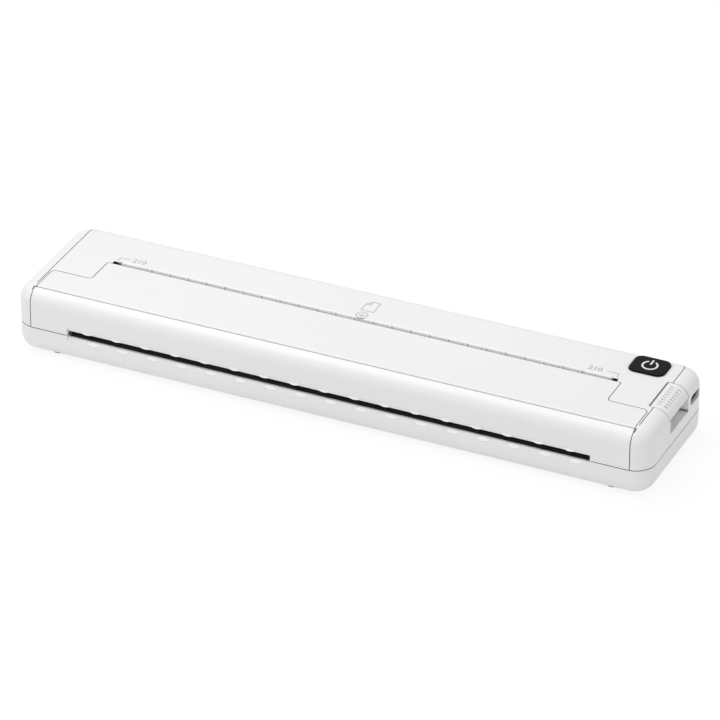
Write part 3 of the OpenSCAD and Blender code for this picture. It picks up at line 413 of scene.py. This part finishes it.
def casing_plastic(name, low):
    """The casing's white: moulded grain, painted shade that darkens it towards a grey in its seams, and
    painted highlights on the crests of the slot's ribs. The low value is the tone of the deepest painted seam
    shade, between the grey (0) and the white (1)."""
    mat, tree, shader = new_material(name)
    grain = place_group(tree, moulded_grain, Pit_Scale=2600.0, Drift_Scale=14.0)
    open_face = blend_colours(tree, grain.outputs["Drift"], WHITE, WHITE_LOW)
    # Painted shade: the white darkens towards a tenth of itself where nearby walls shut a face in, as in the
    # seams
    seam_shade_colour = tuple(SEAM_SHADE * c for c in WHITE)
    colour = blend_colours(tree, painted_seam_shade(tree, low), seam_shade_colour, open_face)
    to_rib = SLOT_HALF + RIB_OFF_EDGE
    # Painted highlights: the crests of the slot's ribs are lightened towards a near white
    rib_highlights = joined(
        tree,
        "MAXIMUM",
        painted_rib_highlights(tree, SLOT_MID + to_rib, 0.0),
        painted_rib_highlights(tree, SLOT_MID - to_rib, LOWER_RIB_SHIFT),
    )
    colour = blend_colours(tree, rib_highlights, colour, CREST_HIGHLIGHT_WHITE)
    finish_grained(tree, shader, colour, grain, CASING_ROUGHNESS, 0.012)
    shader.inputs["Coat Weight"].default_value = COAT
    shader.inputs["Coat Roughness"].default_value = COAT_ROUGHNESS
    return mat


# Slot in the record, name, two tones, roughness range, and where they differ from the casing's the
# scale of the pits and their depth in mm
PLASTICS = [
    ("graphite_plastic", "graphite", (0.028, 0.029, 0.031), (0.02, 0.021, 0.022), (0.42, 0.55)),
    ("foot_rubber", "foot_rubber", (0.03, 0.03, 0.031), (0.02, 0.02, 0.02), (0.7, 0.85), 1200.0, 0.04),
    ("button_black", "button_gloss", (0.006, 0.006, 0.007), (0.004, 0.004, 0.005), (0.12, 0.2), 900.0, 0.001),
    ("symbol_white", "symbol_white", (0.84, 0.84, 0.84), (0.8, 0.8, 0.8), (0.3, 0.4), 2600.0, 0.002),
    ("driver_resin", "driver_resin", (0.012, 0.012, 0.013), (0.008, 0.008, 0.009), (0.2, 0.32), 700.0, 0.03),
    ("gear_plastic", "acetal_natural", (0.74, 0.73, 0.66), (0.69, 0.68, 0.61), (0.34, 0.44), 1800.0, 0.006),
    ("chip_black", "chip_epoxy", (0.016, 0.016, 0.017), (0.011, 0.011, 0.012), (0.5, 0.62), 3200.0, 0.012),
    ("connector_ivory", "connector_ivory", (0.7, 0.66, 0.52), (0.65, 0.61, 0.48), (0.36, 0.46)),
    ("cell_wrap", "cell_wrap", (0.03, 0.1, 0.27), (0.025, 0.085, 0.23), (0.18, 0.28), 400.0, 0.03),
    ("wire_red", "wire_red", (0.42, 0.02, 0.015), (0.36, 0.015, 0.012), (0.32, 0.42), 1500.0),
    (
        "platen_rubber", "platen_rubber", (0.022, 0.022, 0.023), (0.016, 0.016, 0.017), (0.55, 0.68),
        1600.0, 0.03,
    ),
]
# Slot in the record, name, two tones, roughness range, lines, and the lines' scale where it differs
METALS = [
    ("steel", "turned_steel", (0.6, 0.6, 0.61), (0.5, 0.5, 0.51), (0.22, 0.34), lines_around),
    (
        "sheet_steel", "zinc_sheet", (0.62, 0.63, 0.64), (0.53, 0.54, 0.55), (0.3, 0.42),
        lines_along_x, 500.0,
    ),
    (
        "aluminium", "extruded_aluminium", (0.72, 0.73, 0.74), (0.64, 0.65, 0.66), (0.28, 0.4),
        lines_along_x, 1200.0,
    ),
    ("brass", "pinion_brass", (0.76, 0.56, 0.24), (0.66, 0.47, 0.19), (0.2, 0.32), lines_around),
]
BUTTON_SPECULAR = 0.08
# The painted shade in the release key's fine ticks keeps a tone close to the white
KEY_SEAM_SHADE_TONE = 0.84

casing_white = casing_plastic("casing_white", 0.0)
# The key's copy of the casing white, with a lighter painted shade in its ticks and seams
key_white = casing_plastic("key_white", KEY_SEAM_SHADE_TONE)
mats = {
    "casing_white": casing_white,
    "ceramic": ceramic_strip(),
    "board_green": circuit_board(),
    "flat_cable": film_cable(),
}
for slot, *values in PLASTICS:
    mats[slot] = plastic(*values)
for slot, *values in METALS:
    mats[slot] = metal(*values)
glossy_button = mats["button_black"].node_tree.nodes["Principled BSDF"]
glossy_button.inputs["Specular IOR Level"].default_value = BUTTON_SPECULAR
ink_grey = plastic("mark_grey", (0.5, 0.51, 0.52), (0.46, 0.47, 0.48), (0.5, 0.6), 2600.0, 0.004)
# Nodes that look different from the slot that the record gives them
OWN_FINISH = {
    # The socket's shell is darkened to stand in for the shade inside its opening
    "usb_c_shell": metal(
        "nickel_darkened_for_socket_shade", (0.13, 0.13, 0.135), (0.1, 0.1, 0.105), (0.3, 0.42), lines_around
    ),
    "lid_hinge_pins": casing_white,
}

for part in frame["record"]["subparts"]:
    piece = nodes[part["node"]]
    finish = OWN_FINISH.get(part["node"], mats[part["material_slot"]])
    if not piece.data.materials:
        piece.data.materials.append(finish)
    for place in piece.material_slots:
        place.material = finish


# ---------------------------------------------------------------- meshes

# Corners nearer to each other than this are one, on a node's mesh and on a piece made in mm
NODE_DOUBLES = 0.002 * MM
MADE_DOUBLES = 0.001


def show(thing):
    bpy.context.scene.collection.objects.link(thing)


def body_named(node):
    return nodes[node]["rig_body"]


def side_name(name, side):
    return f"{name}_right" if side > 0 else f"{name}_left"


def to_metres(bm):
    bmesh.ops.scale(bm, vec=(MM, MM, MM), verts=bm.verts)


def to_object(name, bm, material):
    mesh = bpy.data.meshes.new(name)
    bm.normal_update()
    bm.to_mesh(mesh)
    bm.free()
    mesh.materials.append(material)
    piece = bpy.data.objects.new(name, mesh)
    show(piece)
    return piece


def node_mesh(node):
    """A node's mesh with its doubled corners merged."""
    bm = bmesh.new()
    bm.from_mesh(nodes[node].data)
    bmesh.ops.remove_doubles(bm, verts=bm.verts, dist=NODE_DOUBLES)
    return bm


# ---------------------------------------------------------------- casing pieces with eased edges

# What tells the ribs' front faces from their piece's others: how far they face forward, their area
# in mm2, and the places of their middles in mm
RIB_FORWARD = 0.99
RIB_AREA = (1.5, 9)
RIB_X_END = 111
RIB_Z = (8, 18)

FLAT_ANGLE = math.radians(0.6)
EASED_ANGLE = math.radians(38)
EVEN_WEIGHT = 80


def is_rib_face(face):
    middle = face.calc_center_median() / MM
    return (
        face.normal.y < -RIB_FORWARD
        and RIB_AREA[0] < face.calc_area() / MM**2 < RIB_AREA[1]
        and abs(middle.x) < RIB_X_END
        and RIB_Z[0] < middle.z < RIB_Z[1]
    )


def tilt_ribs(bm, back):
    """Lean the slot's ribs back at their upper rims, so that they face the light above."""
    for rib in [face for face in bm.faces if is_rib_face(face)]:
        heights = [v.co.z for v in rib.verts]
        low, high = min(heights), max(heights)
        for v in rib.verts:
            v.co.y += back * (v.co.z - low) / (high - low)


# How far the ribs' upper rims lean back on the two pieces that have ribs
RIBBED = {"front_panel": 0.6 * MM, "bottom_shell": 0.75 * MM}
# Node, name of the copy, width of the easing in mm, slot, material
EASED = [
    ("bottom_shell", "lower_casing", 0.2, "casing_white", casing_white),
    ("surround_frame", "rear_and_end_casing", 0.1, "casing_white", casing_white),
    ("front_panel", "front_casing", 0.2, "casing_white", casing_white),
    ("top_plate", "top_casing", 0.1, "casing_white", casing_white),
    ("lid_cover", "hinged_lid", 0.1, "casing_white", casing_white),
    ("release_key", "lid_release_key", 0.12, "casing_white", key_white),
    ("power_button", "power_key", 0.35, "button_black", mats["button_black"]),
]


def eased_copy(node, name, width, slot, finish):
    """A copy of a CAD node whose sharp edges are eased, as a mould's are. It replaces the node."""
    bm = node_mesh(node)
    bmesh.ops.dissolve_limit(
        bm, angle_limit=FLAT_ANGLE, verts=bm.verts, edges=bm.edges, delimit={"NORMAL"}
    )
    bm.normal_update()
    if node in RIBBED:
        tilt_ribs(bm, RIBBED[node])
    piece = to_object(name, bm, finish)
    piece.data.shade_smooth()
    ease = piece.modifiers.new("eased_edges", "BEVEL")
    ease.width = width * MM
    ease.segments = 2
    ease.limit_method = "ANGLE"
    ease.angle_limit = EASED_ANGLE
    ease.miter_outer = "MITER_ARC"
    ease.use_clamp_overlap = True
    ease.harden_normals = False
    even = piece.modifiers.new("even_normals", "WEIGHTED_NORMAL")
    even.keep_sharp = True
    even.weight = EVEN_WEIGHT
    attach(piece, body_named(node))
    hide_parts(node)


for row in EASED:
    eased_copy(*row)


# ---------------------------------------------------------------- marks on the top, in mm

# Height of the top, how far the ink stands above and below it, and the width of its lines
TOP = 28.0
INK = 0.03
LINE = 0.36
BAR_STEP = 0.002
RING_SIDES = 40
BRACKET = [(106.7, 6.9), (106.5, 9.3), (102.2, 9.4)]
NUMBER_SIZE = 3.9
NUMBER_WEIGHT = 0.05
NUMBER_FOOT = 8.1
NUMBER_LEFT = {-1: -101.2, 1: 93.8}
PAGE = [(-3.3, 12.2), (2.0, 12.2), (2.0, 19.4), (-1.2, 19.4), (-3.3, 17.0)]
PAGE_FOLD = [(-3.3, 17.0), (-1.2, 17.0), (-1.2, 19.4)]
FEED_CENTRE = (-1.2, 8.6)
FEED_RADIUS = 2.5
ARROW_HEAD = [(-2.5, 8.9), (-1.2, 7.6), (0.1, 8.9)]
ARROW_STEM = [(-1.2, 7.7), (-1.2, 10.1)]


def add_bar(bm, p, q, low, high):
    """A flat bar from p to q in the plane of the top, between two heights."""
    p, q = Vector((*p, 0)), Vector((*q, 0))
    along = q - p
    made = bmesh.ops.create_cube(bm, size=1.0)["verts"]
    size = Matrix.Diagonal((along.length + LINE, LINE, high - low, 1))
    turn = Matrix.Rotation(math.atan2(along.y, along.x), 4, "Z")
    middle = (p + q) / 2
    place = Matrix.Translation((middle.x, middle.y, (low + high) / 2))
    bmesh.ops.transform(bm, matrix=place @ turn @ size, verts=made)


def add_ring(bm, centre, radius):
    """A flat ring of the lines' width on the top."""
    outer = bmesh.ops.create_circle(bm, segments=RING_SIDES, radius=radius)["verts"]
    inner = bmesh.ops.create_circle(bm, segments=RING_SIDES, radius=radius - LINE)["verts"]
    both = set(outer + inner)
    bmesh.ops.translate(bm, vec=(*centre, TOP - INK), verts=outer + inner)
    edges = [e for e in bm.edges if both.issuperset(e.verts)]
    faces = bmesh.ops.bridge_loops(bm, edges=edges)["faces"]
    lifted = bmesh.ops.extrude_face_region(bm, geom=faces)["geom"]
    top = [v for v in lifted if isinstance(v, bmesh.types.BMVert)]
    bmesh.ops.translate(bm, vec=(0, 0, 2 * INK), verts=top)


def add_bars(bm, points, close=False):
    """Bars in a row. Each is a hair taller than the last, so that no two top faces lie in one plane."""
    pairs = zip(points, points[1:] + points[:1] if close else points[1:])
    for step, (p, q) in enumerate(pairs):
        add_bar(bm, p, q, TOP - INK, TOP + INK + BAR_STEP * step)


def mark_object(name, bm):
    to_metres(bm)
    bmesh.ops.recalc_face_normals(bm, faces=bm.faces)
    piece = to_object(name, bm, ink_grey)
    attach(piece, "base")


def width_mark(side):
    """Bracket that shows where the paper's edge goes."""
    bm = bmesh.new()
    add_bars(bm, [(side * x, y) for x, y in BRACKET])
    mark_object(side_name("width_bracket", side), bm)


def number_mark(side):
    """The plain number 210 beside the bracket."""
    curve = bpy.data.curves.new("width_number", "FONT")
    curve.body = "210"
    curve.size = NUMBER_SIZE
    curve.extrude = INK
    curve.offset = NUMBER_WEIGHT
    curve.resolution_u = 3
    text = bpy.data.objects.new("width_number", curve)
    show(text)
    bpy.context.view_layer.update()
    mesh = bpy.data.meshes.new_from_object(text)
    bpy.data.objects.remove(text)
    bm = bmesh.new()
    bm.from_mesh(mesh)
    bmesh.ops.translate(bm, vec=(NUMBER_LEFT[side], NUMBER_FOOT, TOP), verts=bm.verts)
    bmesh.ops.remove_doubles(bm, verts=bm.verts, dist=MADE_DOUBLES)
    mark_object(side_name("width_number", side), bm)


for side in (-1, 1):
    width_mark(side)
    number_mark(side)

page = bmesh.new()
add_bars(page, PAGE, close=True)
add_bars(page, PAGE_FOLD)
mark_object("page_mark", page)

feed = bmesh.new()
add_ring(feed, FEED_CENTRE, FEED_RADIUS)
add_bars(feed, ARROW_HEAD)
add_bars(feed, ARROW_STEM)
mark_object("feed_mark", feed)


# ---------------------------------------------------------------- painted shade in the latch windows, springs, heating line

# Back, inner side and outer side of the black lining that stands in for the shade in the right latch window,
# in mm
SHADE_LINING = [
    ((105.7, 5.55, 25.2), (107.8, 5.8, 27.9)),
    ((105.7, 3.98, 25.2), (105.85, 5.55, 27.86)),
    ((107.65, 3.98, 25.2), (107.8, 5.55, 27.86)),
]
# The line of heating dots: half its length, its place and its radius, in mm
HEATER_HALF = 104.0
HEATER_Y = -8.0
HEATER_Z = 13.7
HEATER_RADIUS = 0.27


def add_box(bm, low, high):
    """A box between two opposite corners."""
    made = bmesh.ops.create_cube(bm, size=1.0)["verts"]
    low, high = Vector(low), Vector(high)
    place = Matrix.Translation((low + high) / 2) @ Matrix.Diagonal((*(high - low), 1))
    bmesh.ops.transform(bm, matrix=place, verts=made)


def latch_window_shade(side):
    """Black lining that stands in for the shade inside the window beside the inlet, through which the lid's
    lug reaches the latch.
    """
    bm = bmesh.new()
    for low, high in SHADE_LINING:
        add_box(bm, low, high)
    bmesh.ops.remove_doubles(bm, verts=bm.verts, dist=MADE_DOUBLES)
    if side < 0:
        bmesh.ops.scale(bm, vec=(-1, 1, 1), verts=bm.verts)
    bmesh.ops.recalc_face_normals(bm, faces=bm.faces)
    to_metres(bm)
    lining = to_object(side_name("latch_window_shade", side), bm, mats["graphite_plastic"])
    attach(lining, "base")


def working_spring(node, name, axis):
    """A steel, smooth-shaded copy of a spring node, which replaces the node and stays where it is."""
    bm = node_mesh(node)
    low = Vector(min((v.co for v in bm.verts), key=lambda c: c[axis]))
    high = Vector(max((v.co for v in bm.verts), key=lambda c: c[axis]))
    start, end = low.copy(), low.copy()
    end[axis] = high[axis]
    spring = to_object(name, bm, mats["steel"])
    spring.data.shade_smooth()
    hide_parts(node)
    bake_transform(spring)


def heating_line():
    """The line of heating dots along the print head, as a thin rod."""
    bm = bmesh.new()
    bmesh.ops.create_cone(
        bm,
        cap_ends=True,
        segments=24,
        radius1=HEATER_RADIUS,
        radius2=HEATER_RADIUS,
        depth=2 * HEATER_HALF,
    )
    place = Matrix.Translation((0, HEATER_Y, HEATER_Z)) @ Matrix.Rotation(math.pi / 2, 4, "Y")
    bmesh.ops.transform(bm, matrix=place, verts=bm.verts)
    to_metres(bm)
    line = to_object("heating_line", bm, mats["driver_resin"])
    line.data.shade_smooth()
    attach(line, "print_head")


latch_window_shade(-1)
latch_window_shade(1)
working_spring("latch_spring", "latch_return_spring", axis=0)
working_spring("head_springs", "head_pressure_springs", axis=2)
heating_line()


# ---------------------------------------------------------------- floor, light and camera

FLOOR_HALF = 6.0
FLOOR_TONE = 0.86
FLOOR_ROUGHNESS = 0.7
# Strength of the floor's own white where it is seen, and its share beside the shadowed floor
FLOOR_GLOW = 1.02
FLOOR_GLOW_SHARE = 0.88
# Strength of the world as a light, and where it is seen
SKY_LIGHT = 0.57
SKY_SEEN = 1.0
# Name, place, size in metres, watts; both look at the origin
SOFTBOXES = [
    ("top_softbox", (-0.4, -0.08, 1.3), (1.4, 0.9), 10.4),
    ("front_softbox", (0.5, -1.3, 0.5), (1.0, 0.7), 1.8),
]
# The camera's lens and sensor in mm, its place and clipping in metres, and the angles it looks from
FOCAL = 268.0
SENSOR = 36.0
CAMERA_AT = (0.7494, -1.6229, 1.0854)
CLIP_START = 0.05
CLIP_END = 30.0
AZIMUTH = math.radians(24.73)
ELEVATION = math.radians(30.97)


def seen_directly(tree):
    """1 for the camera's own rays and for those that reach the background by gloss or through glass."""
    path = tree.nodes.new("ShaderNodeLightPath")
    kinds = ("Is Camera Ray", "Is Glossy Ray", "Is Transmission Ray")
    return joined(tree, "MAXIMUM", *(path.outputs[kind] for kind in kinds))


def mix_shaders(tree, factor, a, b, output):
    """Link two shaders, mixed by a factor, to the output node named."""
    share = tree.nodes.new("ShaderNodeMixShader")
    tree.links.new(factor, share.inputs[0])
    tree.links.new(a.outputs[0], share.inputs[1])
    tree.links.new(b.outputs[0], share.inputs[2])
    tree.links.new(share.outputs[0], tree.nodes[output].inputs["Surface"])


def floor_material():
    """White where it is seen, with the object's shadow; plain diffuse for all other light."""
    mat, tree, shader = new_material("studio_floor")
    shader.inputs["Base Color"].default_value = (FLOOR_TONE, FLOOR_TONE, FLOOR_TONE, 1)
    shader.inputs["Roughness"].default_value = FLOOR_ROUGHNESS
    shader.inputs["Specular IOR Level"].default_value = 0.0
    glow = tree.nodes.new("ShaderNodeEmission")
    glow.inputs["Strength"].default_value = FLOOR_GLOW
    factor = math_node(tree, "MULTIPLY", seen_directly(tree), FLOOR_GLOW_SHARE)
    mix_shaders(tree, factor, shader, glow, "Material Output")
    return mat


def light_world():
    """A soft grey sky for the light, which is white where it is seen."""
    world = bpy.data.worlds.new("studio")
    bpy.context.scene.world = world
    world.use_nodes = True
    sky = world.node_tree
    soft = sky.nodes["Background"]
    soft.inputs["Color"].default_value = (1, 1, 1, 1)
    soft.inputs["Strength"].default_value = SKY_LIGHT
    white = sky.nodes.new("ShaderNodeBackground")
    white.inputs["Strength"].default_value = SKY_SEEN
    mix_shaders(sky, seen_directly(sky), soft, white, "World Output")


def softbox(name, place, size, power):
    """A rectangular lamp that looks at the origin."""
    light = bpy.data.lights.new(name, "AREA")
    light.shape = "RECTANGLE"
    light.size, light.size_y = size
    light.energy = power
    lamp = bpy.data.objects.new(name, light)
    lamp.location = place
    lamp.rotation_mode = "QUATERNION"
    lamp.rotation_quaternion = (-Vector(place)).to_track_quat("-Z", "Y")
    show(lamp)


def place_camera():
    """The scene's camera, held level at the viewing angle."""
    data = bpy.data.cameras.new("camera")
    data.sensor_width = SENSOR
    data.lens = FOCAL
    data.clip_start, data.clip_end = CLIP_START, CLIP_END
    camera = bpy.data.objects.new("camera", data)
    show(camera)
    level = math.cos(ELEVATION)
    back = Vector((math.sin(AZIMUTH) * level, -math.cos(AZIMUTH) * level, math.sin(ELEVATION)))
    right = (-back).cross(Vector((0, 0, 1))).normalized()
    up = right.cross(-back)
    turn = Matrix((right, up, back)).transposed().to_4x4()
    camera.matrix_world = Matrix.Translation(CAMERA_AT) @ turn
    bpy.context.scene.camera = camera


ground = bmesh.new()
bmesh.ops.create_grid(ground, x_segments=1, y_segments=1, size=FLOOR_HALF)
floor = to_object("floor", ground, floor_material())
light_world()
for box in SOFTBOXES:
    softbox(*box)
place_camera()
bpy.context.scene.view_settings.view_transform = "Standard"

bpy.context.view_layer.update()
